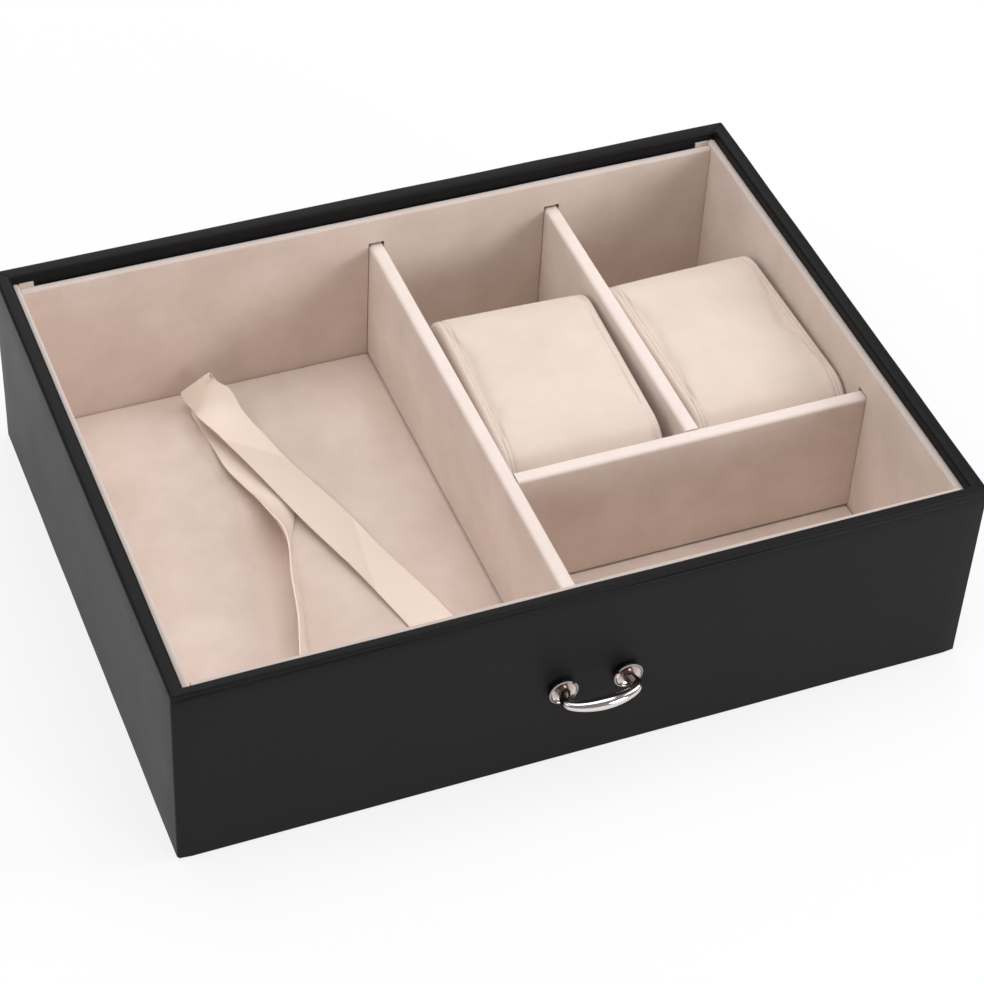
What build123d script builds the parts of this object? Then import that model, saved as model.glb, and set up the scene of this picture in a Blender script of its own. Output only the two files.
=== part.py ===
from build123d import *
import math
import os

# A drawer of a jewellery box, lifted out of its cabinet: a box of thin boards wrapped in
# black artificial leather, lined with velvet on card, with three dividers, two watch
# pillows that lift out, a satin ribbon and a metal pull.
# Millimetres. The origin is the middle of the underside, +Z is up, and -Y is the front.

# Outside of the drawer, over its leather
drawer_width = 270.0
drawer_depth = 204.0
drawer_height = 74.0

# Carcass boards and their leather
side_board_thickness = 4.0
back_board_thickness = 4.0
front_board_thickness = 2.5
base_board_thickness = 4.0
leather_thickness = 0.5
facing_thickness = 0.5
facing_drop = 2.0
facing_side_inset = 0.5
underside_thickness = 0.5
underside_inset = 2.5
leather_turn_down = 20.0
leather_corner_radius = 1.2
rim_rounding = 0.45
mitre_width = 0.5

# Lining: card covered with velvet
liner_card = 1.8
velvet_skin = 0.7
side_liner_drop = 3.5
back_liner_drop = 4.8
front_liner_drop = 1.5
liner_side_gap = 0.2
velvet_flap = 5.0
floor_card_thickness = 1.5
floor_pad_thickness = 2.4
floor_front_gap = 0.6

# Dividers: card boards in velvet sleeves
divider_board = 3.6
sleeve_thickness = 0.8
divider_drop = 16.8
divider_tab = 2.3
slot_clearance = 0.3
slot_headroom = 1.2
sleeve_rounding = 1.3
right_well_width = 59.0
left_well_width = 61.3
front_well_depth = 61.2

# Watch pillows
pillow_width = 56.5
pillow_length = 86.5
pillow_height = 46.0
pillow_corner_radius = 14.0
pillow_cap_thickness = 3.0
pillow_cover_thickness = 1.0
pillow_seam_rounding = 0.9
pillow_front_gap = 1.6
left_pillow_side_gap = 0.4
right_pillow_side_gap = 0.35
left_pillow_turn = -2.3
right_pillow_turn = 1.2

# Pull and its fixings
pull_spacing = 22.0
pull_reach = 10.4
pull_corner_side = 8.0
pull_bow_half = 6.0
pull_leg = 2.9
pull_height = 33.6
pull_past_divider = 2.1
pull_neck_share = 0.1
pull_stations = 20
pull_foot_radius = 2.0
pull_neck_radius = 1.5
pull_middle_radius = 2.1
rosette_radius = 4.9
rosette_base_radius = 3.4
rosette_depth = 2.3
rosette_lip = 0.45
rosette_bore_gap = 0.1
screw_radius = 1.2
screw_hole_radius = 1.5
screw_thread_depth = 2.6
screw_thread_gap = 0.05
screw_head_radius = 2.3
screw_head_height = 1.3
screw_slot_width = 0.6
screw_slot_depth = 0.6
washer_radius = 3.0
washer_thickness = 0.4
relief_clearance = 0.5

# Lift ribbon, folded once and laid in the large compartment
ribbon_width = 15.0
ribbon_thickness = 0.4
ribbon_rest_gap = 0.15
ribbon_tuck = 2.8
ribbon_tuck_gap = 0.1
ribbon_fold_radius = 1.05
ribbon_left_end = 0.3234
ribbon_right_end = 0.9228

# Planes that the pieces share
right_out = drawer_width / 2
front_out = -drawer_depth / 2
back_out = drawer_depth / 2
wrap_front = front_out + facing_thickness
side_board_out = right_out - leather_thickness
side_board_in = side_board_out - side_board_thickness
back_board_out = back_out - leather_thickness
back_board_in = back_board_out - back_board_thickness
front_board_out = wrap_front + leather_thickness
front_board_in = front_board_out + front_board_thickness
wrap_side_in = side_board_in - leather_thickness
wrap_back_in = back_board_in - leather_thickness
wrap_front_in = front_board_in + leather_thickness
board_bottom = underside_thickness + leather_thickness
board_top = drawer_height - leather_thickness
base_top = underside_thickness + base_board_thickness
floor_top = base_top + floor_card_thickness + floor_pad_thickness
liner_thickness = liner_card + velvet_skin
side_liner_in = wrap_side_in - liner_thickness
back_liner_out = wrap_back_in - velvet_skin
back_liner_in = back_liner_out - liner_thickness
front_liner_in = wrap_front_in + liner_thickness
side_liner_top = drawer_height - side_liner_drop
back_liner_top = drawer_height - back_liner_drop
front_liner_top = drawer_height - front_liner_drop
divider_thickness = divider_board + 2 * sleeve_thickness
divider_top = drawer_height - divider_drop
divider_height = divider_top - floor_top
short_divider_x = side_liner_in - right_well_width - divider_thickness / 2
long_divider_x = short_divider_x - divider_thickness - left_well_width
cross_divider_y = front_liner_in + front_well_depth + divider_thickness / 2
slot_width = divider_thickness + 2 * slot_clearance
slot_top = divider_top + slot_headroom
open_well_left = -side_liner_in
open_well_width = long_divider_x - divider_thickness / 2 - open_well_left
inner_depth = back_liner_in - front_liner_in
ribbon_low = floor_top + ribbon_rest_gap + ribbon_thickness / 2
pull_x = long_divider_x + pull_past_divider
screw_places = [pull_x - pull_spacing / 2, pull_x + pull_spacing / 2]


def block(x0, x1, y0, y1, z0, z1):
    """A plain block between three pairs of planes."""
    centre = ((x0 + x1) / 2, (y0 + y1) / 2, (z0 + z1) / 2)
    return Pos(*centre) * Box(x1 - x0, y1 - y0, z1 - z0)


def cross_hole(x, y0, y1, radius):
    """A round hole or pin along Y, at the height of the pull's screws."""
    middle = Pos(x, (y0 + y1) / 2, pull_height)
    return middle * Rot(90, 0, 0) * Cylinder(radius, y1 - y0)


# Carcass: four boards glued round a base, with rebated corners
def end_board(y_out, y_in):
    """Front or back board, its ends rebated to half their thickness for the side boards."""
    y_low, y_high = sorted((y_out, y_in))
    board = block(-side_board_out, side_board_out, y_low, y_high, board_bottom, board_top)
    y_lip = (y_out + y_in) / 2
    for side in (-1, 1):
        x_pair = sorted((side * side_board_in, side * side_board_out))
        y_pair = sorted((y_lip, y_in))
        board -= block(*x_pair, *y_pair, board_bottom, board_top)
    return board


def front_board():
    board = end_board(front_board_out, front_board_in)
    for x in screw_places:
        board -= cross_hole(x, front_board_out, front_board_in, screw_hole_radius)
    return board


def back_board():
    return end_board(back_board_out, back_board_in)


def side_board(side):
    """Left (-1) or right (+1) board, reaching into the rebates of the end boards."""
    x_pair = sorted((side * side_board_in, side * side_board_out))
    y_front = (front_board_out + front_board_in) / 2
    y_back = (back_board_out + back_board_in) / 2
    return block(*x_pair, y_front, y_back, board_bottom, board_top)


def base_board():
    return block(-side_board_in, side_board_in, front_board_in, back_board_in, underside_thickness, base_top)


# Leather: one strip wraps the walls, over the rim and a little way down inside
def rim_mitres():
    """The four mitred cuts where the leather is folded over the corners of the rim."""
    cuts = []
    for x_side in (-1, 1):
        for y_out, y_in in ((wrap_front, wrap_front_in), (back_out, wrap_back_in)):
            start = Vector(x_side * right_out, y_out)
            end = Vector(x_side * wrap_side_in, y_in)
            run = end - start
            angle = math.degrees(math.atan2(run.Y, run.X))
            middle = (start + end) * 0.5
            groove = Pos(middle.X, middle.Y, drawer_height) * Rot(0, 0, angle) * Rot(45, 0, 0)
            side = mitre_width / math.sqrt(2)
            cuts.append(groove * Box(run.length, side, side))
    return cuts


def leather_wrap():
    wrap_depth = back_out - wrap_front
    wrap_middle = (back_out + wrap_front) / 2
    outline = RectangleRounded(drawer_width, wrap_depth, leather_corner_radius)
    wall_height = drawer_height - underside_thickness
    skin = Pos(0, wrap_middle, underside_thickness) * extrude(outline, wall_height)
    inside = block(-wrap_side_in, wrap_side_in, wrap_front_in, wrap_back_in, 0, drawer_height)
    skin -= inside
    rim = skin.faces().sort_by(Axis.Z)[-1]
    skin = fillet(rim.edges(), rim_rounding)
    boards = block(-side_board_out, side_board_out, front_board_out, back_board_out, board_bottom, board_top)
    boards -= block(-side_board_in, side_board_in, front_board_in, back_board_in, board_bottom, board_top)
    skin -= boards
    foot = drawer_height - leather_turn_down
    skin -= block(-side_board_in, side_board_in, front_board_in, back_board_in, underside_thickness, foot)
    for cut in rim_mitres():
        skin -= cut
    for x in screw_places:
        skin -= cross_hole(x, wrap_front, front_board_out, screw_hole_radius)
    return skin


def front_facing():
    """The second leather sheet on the front, which stops short of the rim."""
    half_width = right_out - facing_side_inset
    facing_top = drawer_height - facing_drop
    facing = block(-half_width, half_width, front_out, wrap_front, underside_thickness, facing_top)
    front_face = facing.faces().sort_by(Axis.Y)[0]
    facing = fillet(front_face.edges(), facing_thickness * 0.6)
    for x in screw_places:
        facing -= cross_hole(x, front_out, wrap_front, screw_hole_radius)
    return facing


def underside_sheet():
    half_width = right_out - underside_inset
    return block(-half_width, half_width, wrap_front + underside_inset, back_out - underside_inset,
                 0, underside_thickness)


# Lining: each card panel has velvet on its face and over its top edge
def divider_slot_y(x, y0, y1):
    """The slot that a front-to-back divider needs in the front or back lining."""
    return block(x - slot_width / 2, x + slot_width / 2, y0, y1, floor_top, slot_top)


def side_slot(x0, x1):
    """The slot that the cross divider needs in the right lining."""
    half = slot_width / 2
    return block(x0, x1, cross_divider_y - half, cross_divider_y + half, floor_top, slot_top)


def side_liner_card(side):
    x_pair = sorted((side * wrap_side_in, side * (wrap_side_in - liner_card)))
    card = block(*x_pair, wrap_front_in, wrap_back_in, base_top, side_liner_top - velvet_skin)
    if side > 0:
        card -= side_slot(*x_pair)
    return card


def side_liner_velvet(side):
    """Velvet on a side panel. Its back end turns the corner behind the back lining."""
    x_pair = sorted((side * wrap_side_in, side * side_liner_in))
    velvet = block(*x_pair, wrap_front_in, wrap_back_in, base_top, side_liner_top)
    card_pair = sorted((side * wrap_side_in, side * (wrap_side_in - liner_card)))
    velvet -= block(*card_pair, wrap_front_in, wrap_back_in, base_top, side_liner_top - velvet_skin)
    flap_pair = sorted((side * side_liner_in, side * (side_liner_in - velvet_flap)))
    velvet += block(*flap_pair, back_liner_out, wrap_back_in, base_top, side_liner_top)
    if side > 0:
        velvet -= side_slot(*x_pair)
    return velvet


def back_liner_card():
    half_width = side_liner_in - liner_side_gap
    card = block(-half_width, half_width, back_liner_out - liner_card, back_liner_out,
                 base_top, back_liner_top - velvet_skin)
    for x in (long_divider_x, short_divider_x):
        card -= divider_slot_y(x, back_liner_in, back_liner_out)
    return card


def back_liner_velvet():
    half_width = side_liner_in - liner_side_gap
    velvet = block(-half_width, half_width, back_liner_in, back_liner_out, base_top, back_liner_top)
    velvet -= block(-half_width, half_width, back_liner_out - liner_card, back_liner_out,
                    base_top, back_liner_top - velvet_skin)
    for x in (long_divider_x, short_divider_x):
        velvet -= divider_slot_y(x, back_liner_in, back_liner_out)
    return velvet


def front_liner_card():
    """The front card also has two round reliefs over the heads of the pull's screws."""
    half_width = side_liner_in - liner_side_gap
    card = block(-half_width, half_width, wrap_front_in, wrap_front_in + liner_card,
                 base_top, front_liner_top - velvet_skin)
    card -= divider_slot_y(long_divider_x, wrap_front_in, front_liner_in)
    for x in screw_places:
        card -= cross_hole(x, wrap_front_in, wrap_front_in + liner_card, washer_radius + relief_clearance)
    return card


def front_liner_velvet():
    half_width = side_liner_in - liner_side_gap
    velvet = block(-half_width, half_width, wrap_front_in, front_liner_in, base_top, front_liner_top)
    velvet -= block(-half_width, half_width, wrap_front_in, wrap_front_in + liner_card,
                    base_top, front_liner_top - velvet_skin)
    velvet -= divider_slot_y(long_divider_x, wrap_front_in, front_liner_in)
    return velvet


def floor_layer(z0, z1):
    """A layer of the floor pad, which leaves a narrow gap at the front for the ribbon's ends."""
    return block(-side_liner_in, side_liner_in, front_liner_in + floor_front_gap, back_liner_in, z0, z1)


def floor_card():
    return floor_layer(base_top, base_top + floor_card_thickness)


def floor_velvet():
    return floor_layer(base_top + floor_card_thickness, floor_top)


# Dividers: a card board in a velvet sleeve that is folded over its top edge
def divider(length):
    """Board and sleeve of a divider along X, with its start at X = 0 on the floor pad."""
    board = block(0, length, -divider_board / 2, divider_board / 2, 0, divider_height - sleeve_thickness)
    sleeve = block(0, length, -divider_thickness / 2, divider_thickness / 2, 0, divider_height)
    top_edges = sleeve.faces().sort_by(Axis.Z)[-1].edges().filter_by(Axis.X)
    sleeve = fillet(top_edges, sleeve_rounding) - board
    return board, sleeve


def long_divider():
    start = front_liner_in - divider_tab
    place = Pos(long_divider_x, start, floor_top) * Rot(0, 0, 90)
    board, sleeve = divider(back_liner_in + divider_tab - start)
    return place * board, place * sleeve


def cross_divider():
    start = long_divider_x + divider_thickness / 2
    place = Pos(start, cross_divider_y, floor_top)
    board, sleeve = divider(side_liner_in + divider_tab - start)
    return place * board, place * sleeve


def short_divider():
    start = cross_divider_y + divider_thickness / 2
    place = Pos(short_divider_x, start, floor_top) * Rot(0, 0, 90)
    board, sleeve = divider(back_liner_in + divider_tab - start)
    return place * board, place * sleeve


# Watch pillows: a foam core in a velvet sleeve, closed by a padded cap at each end
def pillow_profile(inset):
    """The pillow's outline seen along X, drawn in by the inset."""
    length = pillow_length - 2 * inset
    height = pillow_height - 2 * inset
    outline = RectangleRounded(length, height, pillow_corner_radius - inset)
    return Plane.YZ * Pos(0, pillow_height / 2) * outline


def pillow(place):
    """Core, cover and two end caps of one pillow, standing on the floor pad."""
    body_half = pillow_width / 2 - pillow_cap_thickness
    core = extrude(pillow_profile(pillow_cover_thickness), body_half, both=True)
    cover = extrude(pillow_profile(0), body_half, both=True)
    ends = cover.faces().sort_by(Axis.X)
    cover = fillet(ends[0].edges() + ends[-1].edges(), pillow_seam_rounding) - core
    cap = extrude(pillow_profile(0), pillow_cap_thickness)
    cap_ends = cap.faces().sort_by(Axis.X)
    cap = fillet(cap_ends[0].edges() + cap_ends[-1].edges(), pillow_seam_rounding)
    right_cap = Pos(body_half, 0, 0) * cap
    left_cap = Pos(-body_half - pillow_cap_thickness, 0, 0) * cap
    return [place * piece for piece in (core, cover, left_cap, right_cap)]


def pillow_reach(turn):
    """How far a turned pillow reaches from its middle along X and along Y."""
    angle = math.radians(abs(turn))
    reach_x = pillow_width / 2 * math.cos(angle) + pillow_length / 2 * math.sin(angle)
    reach_y = pillow_length / 2 * math.cos(angle) + pillow_width / 2 * math.sin(angle)
    return reach_x, reach_y


def pillow_place(side_face, side_gap, turn, side):
    """Where a pillow stands: a gap away from one face of its well, close behind the cross divider."""
    reach_x, reach_y = pillow_reach(turn)
    x = side_face + side * (side_gap + reach_x)
    y = cross_divider_y + divider_thickness / 2 + pillow_front_gap / 2 + reach_y
    return Pos(x, y, floor_top) * Rot(0, 0, turn)


def left_pillow():
    face = long_divider_x + divider_thickness / 2
    return pillow(pillow_place(face, left_pillow_side_gap, left_pillow_turn, 1))


def right_pillow():
    return pillow(pillow_place(side_liner_in, right_pillow_side_gap, right_pillow_turn, -1))


# Pull: a cast bow on two feet, each in a dished rosette, screwed on from inside
def pull_spine():
    """The line through the middle of the casting between its two legs, as one Bezier curve."""
    half = pull_spacing / 2
    right_half = [
        (pull_bow_half, 1.20 * pull_reach),
        (half + pull_corner_side, 0.83 * pull_reach),
        (half, 0.50 * pull_reach),
        (half, pull_leg),
    ]
    left_half = [(-x, y) for x, y in reversed(right_half)]
    return Bezier(*left_half, *right_half)


def pull_radius(at):
    """Radius of the round section at a share of the spine: foot, neck, middle and back."""
    from_end = min(at, 1 - at)
    if from_end < pull_neck_share:
        start, end, blend = pull_foot_radius, pull_neck_radius, from_end / pull_neck_share
    else:
        start, end = pull_neck_radius, pull_middle_radius
        blend = (from_end - pull_neck_share) / (0.5 - pull_neck_share)
    return start + (end - start) * (1 - math.cos(math.pi * blend)) / 2


def pull_bow():
    """One casting: two straight legs, and a bow whose round section swells towards its middle."""
    spine = pull_spine()
    sections = []
    for index in range(pull_stations + 1):
        at = index / pull_stations
        across_spine = Plane(origin=spine @ at, x_dir=(0, 0, 1), z_dir=spine % at)
        sections.append(across_spine * Circle(pull_radius(at)))
    bow = Pos(pull_x, front_out, pull_height) * Rot(180, 0, 0) * loft(sections)
    for x in screw_places:
        bow += cross_hole(x, front_out - pull_leg, front_out, pull_foot_radius)
        bow -= cross_hole(x, front_out - screw_thread_depth, front_out, screw_radius + screw_thread_gap)
    return bow


def rosette(x):
    """A dished cup, drawn as half its section and turned about the foot of the bow."""
    bore = pull_foot_radius + rosette_bore_gap
    lip_in = rosette_radius - rosette_lip
    lip_foot = rosette_depth - rosette_lip
    lip_crest = rosette_depth - rosette_lip * 0.4
    dish = rosette_depth * 0.4
    with BuildSketch(Plane.XY) as section:
        with BuildLine():
            Polyline((bore, 0), (rosette_base_radius, 0))
            Spline((rosette_base_radius, 0), (rosette_radius, lip_foot), tangents=((1, 0.5), (0.3, 1)))
            Polyline((rosette_radius, lip_foot), (rosette_radius, lip_crest), (lip_in, rosette_depth))
            Spline((lip_in, rosette_depth), (bore, dish), tangents=((-0.4, -1), (-1, -0.1)))
            Line((bore, dish), (bore, 0))
        make_face()
    cup = revolve(section.sketch, Axis.Y)
    return Pos(x, front_out, pull_height) * Rot(180, 0, 0) * cup


def pull_screws():
    """Pan head screws through the front board into the feet of the bow."""
    screws = []
    seat = front_board_in + washer_thickness
    for x in screw_places:
        shank = cross_hole(x, front_out - screw_thread_depth + screw_thread_gap, seat, screw_radius)
        head = cross_hole(x, seat, seat + screw_head_height, screw_head_radius)
        head = fillet(head.edges().sort_by(Axis.Y)[-1], screw_head_height * 0.5)
        slot_y = seat + screw_head_height
        for tilt in (0, 90):
            cut = Pos(x, slot_y, pull_height) * Rot(0, tilt, 0)
            head -= cut * Box(screw_head_radius * 1.2, 2 * screw_slot_depth, screw_slot_width)
        screws.append(shank + head)
    return Compound(children=screws)


def pull_washers():
    washers = []
    for x in screw_places:
        ring = cross_hole(x, front_board_in, front_board_in + washer_thickness, washer_radius)
        ring -= cross_hole(x, front_board_in, front_board_in + washer_thickness, screw_hole_radius)
        washers.append(ring)
    return Compound(children=washers)


# Lift ribbon: it comes up at the front, stands on edge for a stretch, folds at the back and returns
def lower_strand():
    """Points of the lower strand from the front to the fold.

    Each is a share of the open well's width and depth, a height in half widths and a roll angle."""
    return [
        (0.3339, 0.0608, 0.200, -8),
        (0.3581, 0.1241, 0.481, -24),
        (0.3983, 0.1981, 0.953, -66),
        (0.4316, 0.2826, 0.979, -78),
        (0.4729, 0.3988, 1.019, -77),
        (0.5082, 0.5151, 1.070, -79),
        (0.5158, 0.5837, 0.833, -56),
        (0.5285, 0.6234, 0.631, -37),
        (0.5383, 0.6630, 0.439, -20),
        (0.5276, 0.7156, 0.294, -11),
        (0.5110, 0.7686, 0.212, -7),
        (0.5080, 0.8260, 0.074, -4),
        (0.5021, 0.8848, 0.163, 13),
        (0.4940, 0.9053, 0.383, 20),
        (0.4843, 0.9247, 0.669, 30),
        (0.4752, 0.9416, 0.956, 41),
        (0.4660, 0.9581, 1.259, 54),
    ]


def upper_strand():
    """Points of the upper strand from the fold to the front, given as for the lower strand."""
    return [
        (0.4620, 0.9394, 1.168, 45),
        (0.4821, 0.9244, 1.056, 30),
        (0.4927, 0.9079, 0.905, 14),
        (0.5001, 0.8901, 0.764, 0),
        (0.5179, 0.8525, 0.660, -10),
        (0.5397, 0.8056, 0.623, -11),
        (0.5646, 0.7520, 0.566, -14),
        (0.5872, 0.7052, 0.515, -13),
        (0.6504, 0.5890, 0.301, -5),
        (0.7133, 0.4622, 0.181, -10),
        (0.7690, 0.3460, 0.093, -3),
        (0.8186, 0.2298, 0.040, 0),
        (0.8930, 0.1030, 0.000, 0),
    ]


def strand_frames(points, start=None):
    """Place, run and cross direction at each point of a strand, the run taken between its neighbours.

    The start is the place that the strand comes from, where there is one."""
    places = []
    for across, along, height, _ in points:
        x = open_well_left + across * open_well_width
        y = front_liner_in + along * inner_depth
        places.append(Vector(x, y, ribbon_low + height * ribbon_width / 2))
    frames = []
    for index, place in enumerate(places):
        before = places[index - 1] if index else start or place
        after = places[min(index + 1, len(places) - 1)]
        run = (after - before).normalized()
        roll = math.radians(points[index][3])
        across = Vector(math.cos(roll), 0, math.sin(roll))
        frames.append((place, run, (across - run * across.dot(run)).normalized()))
    return frames


def bend_frames(start, run, across, inward, radius, turn):
    """Frames round a bend about a line along the cross direction, towards the inward side."""
    centre = start + inward * radius
    frames = []
    for step in range(turn // 45 + 1):
        angle = math.radians(45 * step)
        place = centre - inward * (radius * math.cos(angle)) + run * (radius * math.sin(angle))
        frames.append((place, run * math.cos(angle) + inward * math.sin(angle), across))
    return frames


def ribbon_frames():
    """Frames of the whole ribbon, from its left tucked end round the fold to its right one."""
    right, back, up = Vector(1, 0, 0), Vector(0, 1, 0), Vector(0, 0, 1)
    edge_radius = ribbon_low - floor_top
    tuck_y = front_liner_in + ribbon_tuck_gap + ribbon_thickness / 2
    left_x = open_well_left + ribbon_left_end * open_well_width
    right_x = open_well_left + ribbon_right_end * open_well_width
    frames = [(Vector(left_x, tuck_y, floor_top - ribbon_tuck), up, right)]
    frames += bend_frames(Vector(left_x, tuck_y, floor_top), up, right, back, edge_radius, 90)
    frames += strand_frames(lower_strand())
    place, run, across = frames.pop()
    frames += bend_frames(place, run, across, across.cross(run).normalized(), ribbon_fold_radius, 180)
    frames += strand_frames(upper_strand(), frames[-1][0])
    edge = Vector(right_x, tuck_y + edge_radius, ribbon_low)
    frames += bend_frames(edge, -back, right, -up, edge_radius, 90)
    frames.append((Vector(right_x, tuck_y, floor_top - ribbon_tuck), -up, right))
    return frames


def ribbon_corners():
    """The four corners of the ribbon's thin section at each frame."""
    corners = []
    for place, run, across in ribbon_frames():
        half_across = across * (ribbon_width / 2)
        half_through = run.cross(across) * (ribbon_thickness / 2)
        corners.append([
            place - half_across - half_through,
            place + half_across - half_through,
            place + half_across + half_through,
            place - half_across + half_through,
        ])
    return corners


def lift_ribbon():
    """Flat triangles between the sections, split the same way on both faces of the ribbon."""
    corners = ribbon_corners()
    triangles = []
    for near, far in zip(corners, corners[1:]):
        for first, second in ((0, 1), (1, 2)):
            triangles.append((near[first], near[second], far[second]))
            triangles.append((near[first], far[second], far[first]))
        for first, second in ((2, 3), (3, 0)):
            triangles.append((near[first], near[second], far[first]))
            triangles.append((near[second], far[second], far[first]))
    faces = [Face(Wire.make_polygon(triangle, close=True)) for triangle in triangles]
    faces += [Face(Wire.make_polygon(end, close=True)) for end in (corners[0], corners[-1])]
    return Solid(Shell(faces))


def build_nodes():
    """Every separate piece of the drawer, by name."""
    nodes = {
        "base_board": base_board(),
        "front_board": front_board(),
        "back_board": back_board(),
        "left_board": side_board(-1),
        "right_board": side_board(1),
        "leather_wrap": leather_wrap(),
        "front_facing": front_facing(),
        "underside_sheet": underside_sheet(),
        "left_liner_card": side_liner_card(-1),
        "left_liner_velvet": side_liner_velvet(-1),
        "right_liner_card": side_liner_card(1),
        "right_liner_velvet": side_liner_velvet(1),
        "back_liner_card": back_liner_card(),
        "back_liner_velvet": back_liner_velvet(),
        "front_liner_card": front_liner_card(),
        "front_liner_velvet": front_liner_velvet(),
        "floor_card": floor_card(),
        "floor_velvet": floor_velvet(),
        "pull_bow": pull_bow(),
        "left_rosette": rosette(screw_places[0]),
        "right_rosette": rosette(screw_places[1]),
        "pull_screws": pull_screws(),
        "pull_washers": pull_washers(),
        "lift_ribbon": lift_ribbon(),
    }
    for name, make in (("long", long_divider), ("cross", cross_divider), ("short", short_divider)):
        nodes[name + "_divider_board"], nodes[name + "_divider_sleeve"] = make()
    for name, make in (("left", left_pillow), ("right", right_pillow)):
        pieces = zip(("core", "cover", "left_cap", "right_cap"), make())
        for piece_name, piece in pieces:
            nodes[name + "_pillow_" + piece_name] = piece
    return nodes


os.makedirs("parts", exist_ok=True)
for node_name, node in build_nodes().items():
    export_step(node, "parts/" + node_name + ".step")
    print(node_name, round(node.volume, 1))
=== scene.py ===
import math
import bmesh
import bpy
from mathutils import Matrix, Vector, noise


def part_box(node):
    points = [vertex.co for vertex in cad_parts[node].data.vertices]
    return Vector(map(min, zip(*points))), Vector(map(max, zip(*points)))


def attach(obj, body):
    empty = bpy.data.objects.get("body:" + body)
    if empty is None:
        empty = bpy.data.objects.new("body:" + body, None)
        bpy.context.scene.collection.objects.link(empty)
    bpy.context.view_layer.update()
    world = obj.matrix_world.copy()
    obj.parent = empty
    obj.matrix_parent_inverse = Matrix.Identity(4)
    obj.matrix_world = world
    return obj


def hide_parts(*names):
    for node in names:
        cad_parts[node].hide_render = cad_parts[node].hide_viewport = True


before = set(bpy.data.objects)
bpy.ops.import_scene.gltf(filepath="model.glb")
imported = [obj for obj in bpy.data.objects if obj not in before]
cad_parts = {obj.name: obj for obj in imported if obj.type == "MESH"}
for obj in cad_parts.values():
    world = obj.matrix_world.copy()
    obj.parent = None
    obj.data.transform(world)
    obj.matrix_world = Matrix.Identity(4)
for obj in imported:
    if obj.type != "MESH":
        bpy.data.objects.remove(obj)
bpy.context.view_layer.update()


# Carcass: five fibreboard panels, glued and pinned at the corners. Leather hides them all, so
# they have only the pressed face of fibreboard, with darker fibres in it.
class Reading:
    """A socket of a material. Sums and products of readings add their own Math nodes."""

    def __init__(self, tree, socket):
        self.tree = tree
        self.socket = socket

    def maths(self, operation, first, second):
        made = self.tree.nodes.new("ShaderNodeMath")
        made.operation = operation
        for value, socket in zip((first, second), made.inputs):
            if isinstance(value, Reading):
                self.tree.links.new(value.socket, socket)
            else:
                socket.default_value = value
        return Reading(self.tree, made.outputs[0])

    def __add__(self, other):
        return self.maths("ADD", self, other)

    def __radd__(self, other):
        return self.maths("ADD", other, self)

    def __sub__(self, other):
        return self.maths("SUBTRACT", self, other)

    def __rsub__(self, other):
        return self.maths("SUBTRACT", other, self)

    def __mul__(self, other):
        return self.maths("MULTIPLY", self, other)

    def __rmul__(self, other):
        return self.maths("MULTIPLY", other, self)

    def __pow__(self, other):
        return self.maths("POWER", self, other)


class Finish:
    """A material on Blender's Principled surface, with the nodes that vary it."""

    def __init__(self, name, fixed):
        self.material = bpy.data.materials.new(name)
        self.material.use_nodes = True
        self.tree = self.material.node_tree
        self.shader = self.tree.nodes["Principled BSDF"]
        self.surface(fixed)

    def join(self, value, socket):
        if isinstance(value, Reading):
            self.tree.links.new(value.socket, socket)
        else:
            socket.default_value = value

    def surface(self, values):
        for name, value in values.items():
            self.join(value, self.shader.inputs[name])

    def node(self, kind, settings, values, output=0):
        made = self.tree.nodes.new("ShaderNode" + kind)
        for name, value in settings.items():
            setattr(made, name, value)
        for name, value in values.items():
            self.join(value, made.inputs[name])
        return Reading(self.tree, made.outputs[output])

    def place(self):
        return self.node("TexCoord", {}, {}, "Object")

    def along(self, vector, axis):
        return self.node("SeparateXYZ", {}, {"Vector": vector}, axis)

    def rise(self, value, low, high):
        """0 at the low value, 1 at the high one and even between them."""
        return self.node("MapRange", {}, {"Value": value, 1: low, 2: high, 3: 0.0, 4: 1.0})

    def cloud(self, where, scale, detail=2.0, roughness=0.5):
        values = {"Vector": where, "Scale": scale, "Detail": detail, "Roughness": roughness}
        return self.node("TexNoise", {}, values)

    def tint(self, share, first, second):
        return self.node("Mix", {"data_type": "RGBA"}, {0: share, 6: first, 7: second}, 2)

    def bump(self, height, depth, strength=1.0):
        return self.node("Bump", {}, {"Height": height, "Distance": depth, "Strength": strength})


def dress(finish, *names):
    """Gives CAD nodes a finish through the material slots that they came with."""
    for name in names:
        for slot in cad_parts[name].material_slots:
            slot.material = finish.material


fibreboard = Finish("fibreboard", {"Roughness": 0.85})
pressed = fibreboard.cloud(fibreboard.place(), 900.0, 4.0)
fibreboard.surface({
    "Base Color": fibreboard.tint(pressed, (0.30, 0.19, 0.11, 1), (0.52, 0.38, 0.25, 1)),
    "Normal": fibreboard.bump(pressed, 0.0001),
})
dress(fibreboard, "base_board", "front_board", "back_board", "left_board", "right_board")


# Leather: black artificial leather with a fine grain, glued round the boards, over the rim and a
# little way down inside. A second sheet faces the front, and a third closes the underside.
leather = Finish("black_leather", {"Specular IOR Level": 0.12})
hide = leather.place()
pores = leather.node("TexVoronoi", {"feature": "DISTANCE_TO_EDGE"}, {"Vector": hide, "Scale": 1500.0})
creases = leather.rise(pores, 0.0, 0.25)
patches = leather.cloud(hide, 45.0, 3.0)
grain = creases * 0.7 + leather.cloud(hide, 2600.0, 2.0) * 0.3
leather.surface({
    "Base Color": leather.tint(patches, (0.0060, 0.0060, 0.0068, 1), (0.0088, 0.0086, 0.0094, 1)),
    "Roughness": patches * 0.08 + 0.40 - creases * 0.03,
    "Normal": leather.bump(grain, 0.00006, 0.5),
})


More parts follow.
